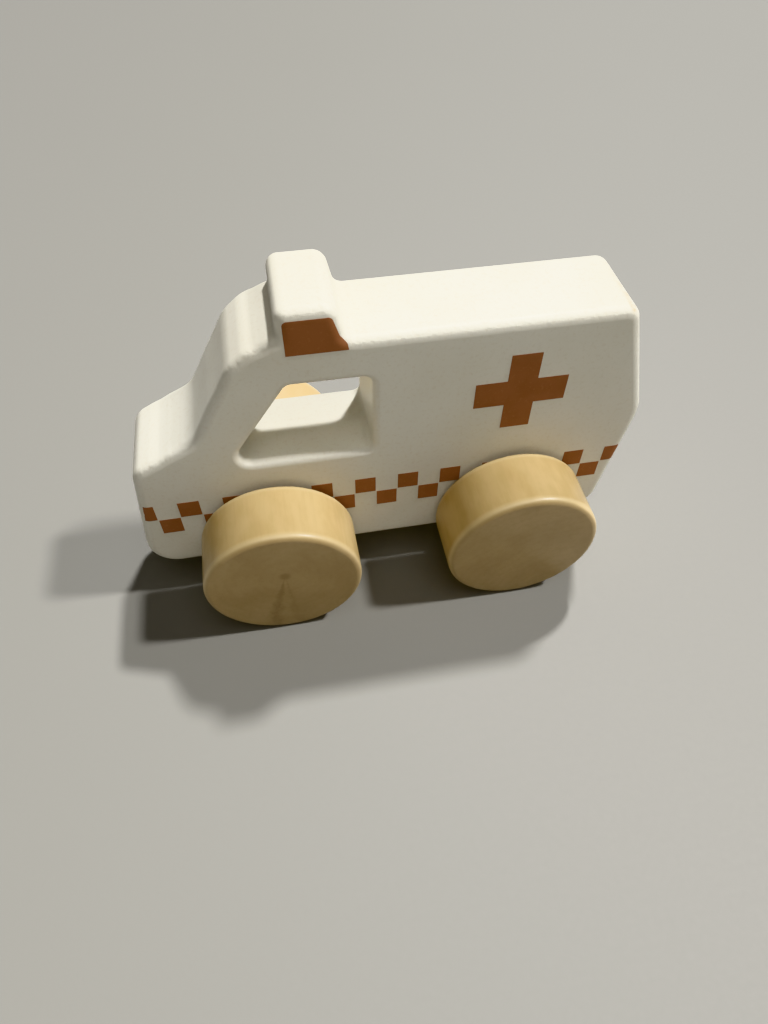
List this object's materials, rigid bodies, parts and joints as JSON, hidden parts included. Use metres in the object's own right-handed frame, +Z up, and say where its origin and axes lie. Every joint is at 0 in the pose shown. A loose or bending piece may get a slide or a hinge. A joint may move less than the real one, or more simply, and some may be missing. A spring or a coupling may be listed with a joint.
{
  "type": "toy ambulance",
  "caption": "Push-along toy ambulance: a painted wooden block with a siren, a window cut right through, a printed cross and a checked band, rolling on wooden wheels on dowel axles.",
  "frame": {"origin": "on the ground, under the middle of the vehicle's length and width", "axes": "+X forward to the nose, +Y to the vehicle's left side, +Z up"},
  "size_m": [0.116, 0.0534, 0.0793],
  "materials": {
    "painted_wood": "warm white satin paint over sanded hardwood",
    "wheel_wood": "pale hardwood under a thin satin lacquer, end grain on the faces",
    "axle_wood": "bare hardwood dowel",
    "print_ink": "rust-brown printed ink"
  },
  "bodies": {
    "body": {"body_block": "painted_wood", "left_cross_print": "print_ink", "right_cross_print": "print_ink", "left_siren_print": "print_ink", "right_siren_print": "print_ink", "left_check_print": "print_ink", "right_check_print": "print_ink"},
    "front_wheelset": {"front_axle": "axle_wood", "front_left_wheel": "wheel_wood", "front_right_wheel": "wheel_wood"},
    "rear_wheelset": {"rear_axle": "axle_wood", "rear_left_wheel": "wheel_wood", "rear_right_wheel": "wheel_wood"}
  },
  "joints": [
    {"name": "front_wheels_roll", "type": "hinge", "parent": "body", "child": "front_wheelset", "pos_m": [0.027, 0, 0.018], "axis": [0, 1, 0], "continuous": true},
    {"name": "rear_wheels_roll", "type": "hinge", "parent": "body", "child": "rear_wheelset", "pos_m": [-0.0295, 0, 0.018], "axis": [0, 1, 0], "continuous": true}
  ]
}
